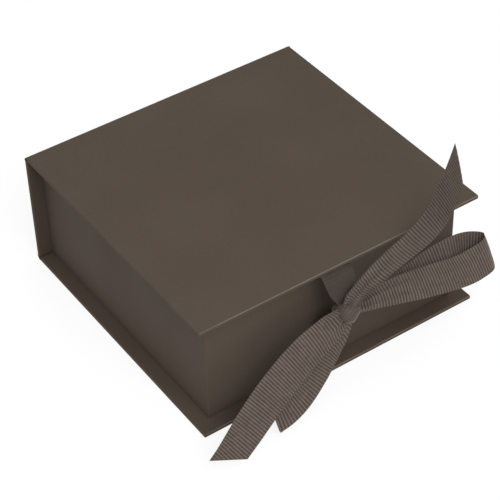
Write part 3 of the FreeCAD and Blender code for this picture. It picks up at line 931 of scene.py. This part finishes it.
@dataclass
class RibbonStock:
    """The ribbon off the roll, and the sweep that makes a strand of it.

    Higher powers keep the ribbon's rounding and its curl closer to its selvedges.
    """

    finish: RibbonFinish
    full_width: float = 16.0 * MM
    thickness: float = 0.42 * MM
    rib_steps: int = 6
    girth_steps: int = 32
    least_ribs: int = 8
    edge_power: int = 8
    curl_power: int = 4
    wave_length: float = 9.0 * MM
    wave_phase: float = 1.7
    wave_start: float = 15.0 * MM
    sharp: float = 60.0
    material: Optional[Material] = None

    def sweep(self, name: str, run: Run, gather: Gather) -> Piece:
        """Sweep a ribbed strip along a run.

        Args:
            name: the piece's name.
            run: its middle line.
            gather: how it is drawn together and bowed.

        Returns:
            The new piece.
        """
        whole = run.lengthened(gather.slant / 2) if gather.slant else run
        length = float(whole.distances()[-1])
        steps = max(self.least_ribs, round(length / self.finish.rib_pitch)) * self.rib_steps
        bm = bmesh.new()
        weave = bm.loops.layers.uv.new(WEAVE_MAP)
        bmesh.ops.create_grid(bm, x_segments=steps, y_segments=self.girth_steps, size=0.5)
        bm.verts.index_update()
        spread = np.array([vert.co for vert in bm.verts]) + 0.5
        places, flat = self.place_points(whole, gather, spread[:, 0] * length, spread[:, 1] * math.tau)
        for vert, place in zip(bm.verts, places):
            vert.co = place
        for face in bm.faces:
            for loop in face.loops:
                loop[weave].uv = flat[loop.vert.index]
        bmesh.ops.remove_doubles(bm, verts=bm.verts, dist=TOUCH)
        if gather.slant:
            self.cut_end(bm, run, gather.slant)
        bmesh.ops.holes_fill(bm, edges=[edge for edge in bm.edges if edge.is_boundary], sides=0)
        bmesh.ops.recalc_face_normals(bm, faces=bm.faces)
        return add_piece(name, bm, self.material, self.sharp)

    def cut_end(self, bm: Mesh, run: Run, slant: float) -> None:
        """Cut a strip off at a slant through the end of its run.

        Args:
            bm: the strip's mesh.
            run: its middle line, up to the middle of the cut.
            slant: how much further one edge reaches than the other.
        """
        way = run.end_way()
        normal = unit(way * self.full_width + squared(run.across[-1], way) * slant)
        everything = bm.verts[:] + bm.edges[:] + bm.faces[:]
        bmesh.ops.bisect_plane(
            bm, geom=everything, dist=CUT_TOLERANCE, plane_co=run.places[-1], plane_no=normal,
            clear_outer=True,
        )

    def place_points(self, run: Run, gather: Gather, along: Rows, round_it: Rows) -> tuple[Rows, Rows]:
        """Work out where the strip's points go.

        Args:
            run: the strip's middle line.
            gather: how it is drawn together and bowed.
            along: how far along the run each point is.
            round_it: each point's turn round the strip's edge, from one selvedge over the face and back.

        Returns:
            The places in metres, and each point's place on the flat ribbon.
        """
        distances = run.distances()
        way = unit(read_rows(along, distances, run.ways()))
        across = squared(read_rows(along, distances, run.across), way)
        through = np.cross(way, across)
        width = np.interp(along, distances, run.width)
        side = -np.cos(round_it)
        drawn = np.clip(1.0 - width, 0.0, 1.0)
        run_on = along + gather.skew * drawn * (1.0 - side ** 2)
        crest = 0.5 + 0.5 * np.cos(math.tau * run_on / self.finish.rib_pitch)
        edge = np.sqrt(np.clip(1.0 - side ** self.edge_power, 0.0, 1.0))
        ribbed = 1.0 - self.finish.relief * (1.0 - crest)
        thick = self.thickness / 2 * edge * ribbed * np.sign(np.sin(round_it))
        fold = gather.pleat * drawn * np.cos(math.pi * gather.folds * (side + gather.phase))
        bowed = gather.bow * (1.0 - side ** 2) - gather.curl * side ** self.curl_power
        wave = np.sin(along / self.wave_length + self.wave_phase) * np.clip(along / self.wave_start, 0.0, 1.0)
        off = thick + fold + bowed + gather.waver * wave * side
        half = width * self.full_width / 2 * side
        places = read_rows(along, distances, run.places) + across * half[:, None] + through * off[:, None]
        return places, np.stack((side * self.full_width / 2, run_on), axis=1)


@dataclass(frozen=True)
class Reach:
    """How far a strand goes from the knot: right, forward and up, and the height its rise starts from."""

    right: float
    forward: float
    rise: float
    start: float = 0.0


class Pull(Enum):
    """How hard a strand is pulled, which flattens the look of its ribs. The flat pull's ribbon is also
    painted darker, as painted shade.
    """

    LOOSE = "loose"
    TIED = "tied"
    FLAT = "flat"


@dataclass(frozen=True)
class Strand:
    """One strand of the bow: the node it stands for, how it is held and how it is drawn together."""

    name: str
    node: str
    held: str
    rests_on: str
    gather: Gather
    body: Body = Body.TRAY
    pull: Pull = Pull.LOOSE


@dataclass
class Bow:
    """The ribbon tied in front of the tray: its strands, its loops, its knot and the two tied-on ribbons."""

    stocks: dict[Pull, RibbonStock]
    samples: int = 240
    softening: int = 9
    ribbon_x: float = -4.4 * MM
    knot: Triple = (-2.7 * MM, -78.2 * MM, 39.5 * MM)
    # The knot's turn of ribbon: its radii at some angles round its axis, and how oval it is
    knot_axis: Triple = (0.90, 0.25, 0.35)
    knot_angles: Numbers = (-0.3, 0.6, math.tau - 0.6, math.tau + 0.5)
    knot_radii: Numbers = (4.0 * MM, 4.8 * MM, 5.0 * MM, 5.3 * MM)
    knot_oval: float = 0.05
    knot_lean: float = 0.8
    knot_width: float = 0.64
    knot_steps: int = 90
    # The lid's ribbon: its tab, the lining's edge in front of it and the start of its bend there
    lid_tab: float = 28.0 * MM
    lid_edge: float = -70.0 * MM
    lid_level: float = 61.3 * MM
    lid_bend: float = 1.2 * MM
    lid_turns: Numbers = (0.35, 0.7)
    lid_steps: int = 40
    # The tray's ribbon: its tab inside the wall, the slit, and its end behind the knot's middle
    tray_tab: float = 15.0 * MM
    tray_inside: float = -63.65 * MM
    tray_mouth: float = -65.5 * MM
    tray_level: float = 22.0 * MM
    tray_bend: float = 0.4 * MM
    tray_turn: float = 0.2
    tray_steps: tuple[int, int, int] = (20, 6, 60)
    tray_end: Triple = (0.0, 3.3 * MM, 0.0)
    tray_shares: Numbers = (0.0, 0.2, 0.45, 0.7, 1.0)
    tray_widths: Numbers = (1.0, 0.9, 0.68, 0.52, 0.45)
    right_reach: Reach = Reach(77.2 * MM, 11.2 * MM, 5.0 * MM)
    left_reach: Reach = Reach(46.4 * MM, 11.8 * MM, 38.7 * MM, -38.7 * MM)
    upper_reach: Reach = Reach(48.6 * MM, 12.0 * MM, 66.5 * MM)
    lower_reach: Reach = Reach(77.1 * MM, 20.4 * MM, 38.7 * MM, -38.7 * MM)
    lid_reach: Reach = Reach(-1.7 * MM, 5.2 * MM, 16.8 * MM, 4.8 * MM)
    # How far apart the left loop's sides are at the knot, how much further halfway, and at the end
    left_opening: float = 1.5 * MM
    left_belly: float = 2.2 * MM
    left_end: float = 1.4 * MM
    left_turn_steps: int = 26
    knot_band: Strand = Strand(
        "knot_band", "bow_knot", "gathered", "tray_ribbon",
        Gather(pleat=0.5 * MM, folds=2.0, phase=0.2, skew=0.0, bow=0.5 * MM, waver=0.0, curl=2.4 * MM),
        pull=Pull.TIED,
    )
    # The lid's ribbon takes the flat stock, whose darker colour is painted shade from the lid's overhang
    lid_tie: Strand = Strand(
        "lid_tie", "lid_ribbon", "hung", "lid_board", Gather(pleat=1.1 * MM, folds=2.0, phase=0.1),
        body=Body.LID, pull=Pull.FLAT,
    )
    tray_tie: Strand = Strand(
        "tray_tie", "tray_ribbon", "stretched", "tray_front_wall",
        Gather(pleat=1.0 * MM, folds=2.0, phase=0.4, bow=0.0, waver=0.0),
    )
    right_strand: Strand = Strand(
        "right_loop", "bow_right_loop", "gathered", "knot_band", Gather(pleat=1.1 * MM, folds=2.5, phase=0.2),
    )
    left_strand: Strand = Strand(
        "left_loop", "bow_left_loop", "gathered", "knot_band",
        Gather(pleat=0.7 * MM, folds=2.0, phase=0.5, bow=0.1 * MM, waver=0.1 * MM),
    )
    upper_strand: Strand = Strand(
        "upper_tail", "bow_upper_tail", "gathered", "knot_band",
        Gather(pleat=1.0 * MM, folds=2.0, phase=0.3, slant=9.4 * MM),
    )
    lower_strand: Strand = Strand(
        "lower_tail", "bow_lower_tail", "gathered", "knot_band",
        Gather(pleat=1.7 * MM, folds=2.5, phase=0.6, skew=5.0 * MM, slant=12.0 * MM),
    )
    upper_tail: tuple[Station, ...] = (
        Station(0.014, 0.21, 0.062, 0.44, (0.62, -0.36, -0.70)),
        Station(0.030, 0.29, 0.139, 0.48, (0.48, -0.48, -0.73)),
        Station(0.076, 0.39, 0.196, 0.44, (0.20, -0.70, -0.68)),
        Station(0.146, 0.55, 0.276, 0.50, (0.05, -0.87, -0.48)),
        Station(0.298, 0.64, 0.356, 0.67, (-0.15, -0.97, -0.10)),
        Station(0.525, 0.67, 0.43, 0.81, (-0.20, -0.97, 0.04)),
        Station(0.782, 0.73, 0.547, 0.96, (-0.22, -0.965, 0.12)),
        Station(0.900, 0.83, 0.71, 1.0, (-0.25, -0.96, -0.02)),
        Station(1.0, 1.0, 1.0, 1.0, (-0.30, -0.95, -0.06)),
    )
    lower_tail: tuple[Station, ...] = (
        Station(-0.039, 0.07, 1.0, 0.5, (0.30, -0.40, -0.86)),
        Station(-0.144, 0.18, 0.961, 0.84, (0.36, -0.42, -0.83)),
        Station(-0.298, 0.264, 0.878, 0.97, (0.36, -0.50, -0.79)),
        Station(-0.456, 0.378, 0.768, 1.0, (0.35, -0.55, -0.76)),
        Station(-0.633, 0.558, 0.635, 1.0, (0.35, -0.55, -0.76)),
        Station(-0.819, 0.771, 0.461, 1.0, (0.37, -0.50, -0.78)),
        Station(-1.0, 1.0, 0.3, 1.0, (0.42, -0.36, -0.83)),
    )
    # Out along the loop's back, round its end and home along its front
    right_loop: tuple[Station, ...] = (
        Station(0.068, 0.13, 0.47, 0.4, (0.10, -0.30, -0.95)),
        Station(0.209, 0.09, 0.04, 0.55, (0.10, -0.45, -0.89)),
        Station(0.398, 0.02, -0.19, 0.8, (0.10, -0.55, -0.83)),
        Station(0.615, -0.02, 0.17, 0.95, (0.10, -0.56, -0.82)),
        Station(0.804, 0.02, 0.36, 1.0, (0.02, -0.50, -0.86)),
        Station(0.935, 0.10, -0.10, 1.0, (0.05, -0.40, -0.91)),
        Station(0.985, 0.42, -0.05, 1.0, (0.12, -0.33, -0.93)),
        Station(0.955, 0.80, 0.25, 0.97, (0.12, -0.46, -0.88)),
        Station(0.856, 0.98, 0.32, 0.92, (0.02, -0.64, -0.77)),
        Station(0.73, 1.0, 0.34, 0.9, (-0.15, -0.82, -0.55)),
        Station(0.574, 0.93, 0.68, 0.9, (-0.15, -0.82, -0.55)),
        Station(0.417, 0.77, 0.9, 0.86, (-0.15, -0.82, -0.55)),
        Station(0.263, 0.54, 0.92, 0.72, (-0.12, -0.80, -0.58)),
        Station(0.131, 0.32, 0.62, 0.5, (-0.05, -0.75, -0.65)),
        Station(0.039, 0.2, 0.48, 0.4, (0.00, -0.60, -0.80)),
    )
    # Along the middle of the loop, between its two sides
    left_loop: tuple[Station, ...] = (
        Station(-0.012, 0.03, 0.93, 0.42, (0.45, -0.38, -0.80)),
        Station(-0.147, 0.15, 0.771, 0.74, (0.40, -0.38, -0.84)),
        Station(-0.299, 0.31, 0.693, 0.94, (0.42, -0.36, -0.83)),
        Station(-0.468, 0.497, 0.556, 1.0, (0.42, -0.36, -0.83)),
        Station(-0.694, 0.782, 0.397, 1.0, (0.42, -0.36, -0.83)),
        Station(-1.0, 1.0, 0.302, 0.97, (0.42, -0.36, -0.83)),
    )
    lid_fall: tuple[Station, ...] = (
        Station(1.0, -0.88, 0.89, 1.0, SIDEWAYS),
        Station(1.0, -0.47, 0.76, 1.0, SIDEWAYS),
        Station(0.75, -0.25, 0.47, 0.85, SIDEWAYS),
        Station(0.30, -0.24, 0.18, 0.58, SIDEWAYS),
        Station(0.0, -0.24, 0.0, 0.44, SIDEWAYS),
    )

    def strand(self, stations: tuple[Station, ...], reach: Reach) -> Run:
        """Lead a strand through its stations.

        Args:
            stations: its places in shares.
            reach: how far it goes from the knot.

        Returns:
            The strand's run.
        """
        shares = np.array([(station.right, -station.forward, station.height) for station in stations])
        start = np.array(self.knot) + (0.0, 0.0, reach.start)
        places, at = smooth_line(start + shares * (reach.right, reach.forward, reach.rise), self.samples)
        order = np.arange(len(stations))
        across = read_rows(at, order, np.array([station.across for station in stations]))
        width = np.interp(at, order, [station.width for station in stations])
        padded = np.pad(width, self.softening // 2, mode="edge")
        soft = np.convolve(padded, np.ones(self.softening) / self.softening, mode="valid")
        return Run(places, unit(across), soft)

    def looped(self, middle: Run) -> Run:
        """Lead a ribbon out along one side of the left loop's middle line, round its end and back.

        Args:
            middle: the loop's middle line.

        Returns:
            The loop's run.
        """
        distances = middle.distances()
        share = distances / distances[-1]
        way = middle.ways()
        across = squared(middle.across, way)
        through = np.cross(way, across)
        opening = self.left_opening + (self.left_end - self.left_opening) * share
        half = through * ((opening + self.left_belly * np.sin(math.pi * share)) / 2)[:, None]
        out_side = Run(middle.places + half, across, middle.width)
        back_side = Run((middle.places - half)[::-1], across[::-1], middle.width[::-1])
        turn = np.linspace(0.0, math.pi, self.left_turn_steps)[1:-1, None]
        bend = (through[-1] * np.cos(turn) + way[-1] * np.sin(turn)) * self.left_end / 2
        return out_side.joined(Run.even(middle.places[-1] + bend, across[-1])).joined(back_side)

    def lid_run(self) -> Run:
        """Lead the lid's ribbon from its tab over the lining's edge and down to the knot.

        Returns:
            The ribbon's run.
        """
        edge = np.array((self.ribbon_x, self.lid_edge, self.lid_level))
        tab = np.linspace(edge + side_view(self.lid_tab, 0.0), edge, self.lid_steps)
        turn = np.array(self.lid_turns)
        over = edge + side_view(-np.sin(turn), np.cos(turn) - 1.0) * self.lid_bend
        fall = self.strand(self.lid_fall, self.lid_reach)
        return Run.even(np.concatenate((tab, over)), SIDEWAYS).joined(fall)

    def tray_run(self) -> Run:
        """Lead the tray's ribbon from its tab through the slit and up to the back of the knot.

        Returns:
            The ribbon's run.
        """
        tab_steps, turn_steps, climb_steps = self.tray_steps
        corner = np.array((self.ribbon_x, self.tray_inside, self.tray_level))
        tab_ends = [corner - side_view(0.0, below) for below in (self.tray_tab, self.tray_bend)]
        tab = np.linspace(*tab_ends, tab_steps)
        turn = np.linspace(self.tray_turn, math.pi / 2, turn_steps)
        bend = corner + side_view(np.cos(turn) - 1.0, np.sin(turn) - 1.0) * self.tray_bend
        mouth = np.array((self.ribbon_x, self.tray_mouth, self.tray_level))
        share = np.linspace(0.0, 1.0, climb_steps)
        climb = (np.array(self.knot) + self.tray_end - mouth) * share[:, None]
        places = np.concatenate((tab, bend, mouth + climb))
        width = np.interp(share, self.tray_shares, self.tray_widths)
        full = np.ones(tab_steps + turn_steps)
        return Run.even(places, SIDEWAYS, np.concatenate((full, width)))

    def knot_run(self) -> Run:
        """Wind the knot's turn of ribbon round the strands, lapped over itself at the back.

        Returns:
            The ribbon's run.
        """
        axis = unit(np.array(self.knot_axis))
        back = unit(np.array(BACK) - axis * axis[1])
        up = np.cross(axis, back)
        angle = np.linspace(self.knot_angles[0], self.knot_angles[-1], self.knot_steps)
        radius = np.interp(angle, self.knot_angles, self.knot_radii)
        radius *= 1.0 + self.knot_oval * np.cos(2 * angle + self.knot_lean)
        ring = np.outer(np.cos(angle) * radius, back) + np.outer(np.sin(angle) * radius, up)
        return Run.even(ring + np.array(self.knot), axis, self.knot_width)

    def tie(self, strand: Strand, run: Run) -> None:
        """Args:
            strand: what it is and how it is held.
            run: its middle line.
        """
        stock = self.stocks[strand.pull]
        piece = stock.sweep(strand.name, run, strand.gather)
        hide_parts(strand.node)
        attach(piece, strand.body.value)

    def build(self) -> None:
        """Make every strand."""
        for stock in self.stocks.values():
            stock.material = stock.finish.material()
        self.tie(self.knot_band, self.knot_run())
        self.tie(self.lid_tie, self.lid_run())
        self.tie(self.tray_tie, self.tray_run())
        self.tie(self.right_strand, self.strand(self.right_loop, self.right_reach))
        self.tie(self.left_strand, self.looped(self.strand(self.left_loop, self.left_reach)))
        self.tie(self.upper_strand, self.strand(self.upper_tail, self.upper_reach))
        self.tie(self.lower_strand, self.strand(self.lower_tail, self.lower_reach))


def ribbon_stocks() -> dict[Pull, RibbonStock]:
    """Ready the ribbon as it looks loose, tied in the knot and drawn flat, the flat one painted darker as
    painted shade under the lid's front edge.

    Returns:
        The stock for each pull.
    """
    tied = RibbonFinish(
        "Grosgrain tied", (0.116, 0.09, 0.0735), (0.06, 0.0445, 0.036), ribbing=0.4, relief=0.2,
    )
    # The lid's ribbon: the same ribbon with fainter ribs, painted much darker as painted shade from the lid's
    # overhang
    flat = RibbonFinish(
        "Grosgrain drawn flat", (0.066, 0.05, 0.0415), (0.038, 0.028, 0.0228), ribbing=0.25, relief=0.2,
    )
    finishes = {Pull.LOOSE: RibbonFinish(), Pull.TIED: tied, Pull.FLAT: flat}
    return {pull: RibbonStock(finish) for pull, finish in finishes.items()}


# The box

@dataclass
class GiftBox:
    """The whole box: the covers of its case and tray, and the finish of every board and lining."""

    # The cover's upper front folds are lightened, partly as scuffing and partly as a painted highlight
    cover: PaperFinish = PaperFinish("Cover paper", (0.0895, 0.068, 0.051), (0.0975, 0.075, 0.057), wear=0.9)
    lining: PaperFinish = PaperFinish(
        "Lining paper", (0.088, 0.069, 0.053), (0.112, 0.088, 0.068), fineness=0.7, roughness=0.8,
    )
    stay: PaperFinish = PaperFinish("Stay tape", (0.44, 0.33, 0.2), (0.56, 0.43, 0.28), fineness=0.6)
    greyboard: BoardFinish = BoardFinish()
    lid_slit: Corners = ((SLIT_LEFT, -71.5 * MM, 0.0), (SLIT_RIGHT, -41.7 * MM, 0.0))

    def build(self) -> None:
        """Make the covers and dress the nodes that stay."""
        covers = (
            PanelCover(
                "lid_cover", "lid_wrap", "lid_cover", self.cover, Body.LID,
                window=WindowSide.BELOW, slit=self.lid_slit,
            ),
            PanelCover("base_cover", "base_wrap", "base_cover", self.cover),
            SpineCover("spine_cover", "spine_wrap", "spine", self.cover),
            HingePaper("hinge_paper", "lid_hinge", "hinge", self.cover),
            TrayCover("tray_cover", "tray_wrap", "tray", self.cover),
        )
        for cover in covers:
            cover.build()
        self.dress()

    def dress(self) -> None:
        """Give every node that stays its finish."""
        walls = [f"tray_{part}" for part in ("floor", "front_wall", "back_wall", "left_wall", "right_wall")]
        linings = [f"{part}_lining" for part in ("base", "spine", "lid", "tray")]
        finishes = (
            (self.greyboard.material(), ["base_board", "spine_board", "lid_board", *walls]),
            (self.lining.material(), linings),
            (self.cover.material(" crease"), ["base_crease"]),
            (self.stay.material(), ["corner_stays"]),
        )
        for material, names in finishes:
            for name in names:
                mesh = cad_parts[name].data
                mesh.materials.clear()
                mesh.materials.append(material)
                LOG.info("%s dressed as %s", name, material.name)


# Studio

@dataclass
class Studio:
    """A pale floor, soft light and a camera at the photograph's angle.

    The floor is darker to the eye than to the light, and glows, so that it shows white with a light shadow.
    """

    lens: float = 125.73
    sensor: float = 36.0
    azimuth: float = -33.704
    elevation: float = 41.477
    roll: float = -1.776
    distance: float = 0.81378
    aim: Triple = (0.0, 0.0, 0.03167)
    slide: tuple[float, float] = (0.000476, -0.010395)
    sky: float = 0.55
    key_way: Triple = (-0.16, -0.67, 0.72)
    key_distance: float = 1.2
    key_size: float = 0.8
    key_power: float = 7.0
    floor_half: float = 3.0
    floor_drop: float = 0.05 * MM
    floor_colour: Colour = (0.7, 0.7, 0.7)
    floor_seen: Colour = (0.24, 0.24, 0.24)
    floor_glow: float = 0.83

    def add_camera(self) -> None:
        """Set the camera from the angles fitted to the photograph."""
        turn, tilt, lean = (math.radians(angle) for angle in (self.azimuth, self.elevation, self.roll))
        back = Vector((math.sin(turn) * math.cos(tilt), -math.cos(turn) * math.cos(tilt), math.sin(tilt)))
        level = UP.cross(back).normalized()
        upright = back.cross(level)
        right = level * math.cos(lean) + upright * math.sin(lean)
        up = upright * math.cos(lean) - level * math.sin(lean)
        place = back * self.distance + Vector(self.aim) + right * self.slide[0] + up * self.slide[1]
        data = bpy.data.cameras.new("Camera")
        data.lens = self.lens
        data.sensor_width = self.sensor
        camera = add_object("Camera", data)
        turned = Matrix((right, up, back)).transposed().to_4x4()
        camera.matrix_world = Matrix.Translation(place) @ turned
        bpy.context.scene.camera = camera

    @staticmethod
    def seen(graph: NodeGraph) -> Socket:
        """Find the rays that show a surface or the sky to the eye, directly, mirrored or through glass.

        Args:
            graph: the graph to add to.

        Returns:
            A socket that is 1 for those rays.
        """
        path = graph.add("ShaderNodeLightPath").outputs
        mirrored = graph.math("MAXIMUM", path["Is Glossy Ray"], path["Is Transmission Ray"])
        return graph.math("MAXIMUM", path["Is Camera Ray"], mirrored)

    def add_floor(self) -> None:
        """Lay a pale floor that shows white and keeps a light shadow."""
        bm = bmesh.new()
        bmesh.ops.create_grid(bm, x_segments=1, y_segments=1, size=self.floor_half)
        bmesh.ops.translate(bm, vec=(0, 0, -self.floor_drop), verts=bm.verts)
        material = bpy.data.materials.new("Studio floor")
        graph = blank_graph(material)
        seen = self.seen(graph)
        matt = graph.add("ShaderNodeBsdfDiffuse")
        graph.feed(matt.inputs["Color"], graph.mix(seen, self.floor_colour, self.floor_seen))
        glow = graph.add("ShaderNodeEmission")
        graph.feed(glow.inputs["Strength"], graph.math("MULTIPLY", seen, self.floor_glow))
        both = graph.fill(graph.add("ShaderNodeAddShader"), matt.outputs[0], glow.outputs[0])
        graph.output("ShaderNodeOutputMaterial", both)
        add_piece("studio_floor", bm, material)

    def add_light(self) -> None:
        """Light the scene with an even pale sky and a broad lamp from the front left."""
        world = bpy.data.worlds.new("Studio")
        graph = blank_graph(world)
        sky = graph.add("ShaderNodeBackground")
        sky.inputs["Color"].default_value = (1.0, 1.0, 1.0, 1.0)
        graph.feed(sky.inputs["Strength"], graph.ramp(self.seen(graph), 0.0, 1.0, self.sky, 1.0))
        graph.output("ShaderNodeOutputWorld", sky.outputs[0])
        bpy.context.scene.world = world
        data = bpy.data.lights.new("Key", "AREA")
        data.shape = "DISK"
        data.size = self.key_size
        data.energy = self.key_power
        lamp = add_object("Key", data)
        way = Vector(self.key_way).normalized()
        lamp.location = Vector(self.aim) + way * self.key_distance
        lamp.rotation_euler = way.to_track_quat("Z", "Y").to_euler()

    def build(self) -> None:
        """Set up the whole studio."""
        self.add_camera()
        self.add_floor()
        self.add_light()
        bpy.context.scene.view_settings.view_transform = "Standard"


def main() -> None:
    """Build the studio, the bow and the box in order."""
    logging.basicConfig(level=logging.INFO, format="%(name)s %(message)s")
    SharedGroups().build()
    Studio().build()
    Bow(ribbon_stocks()).build()
    GiftBox().build()


if __name__ == "__main__":
    main()
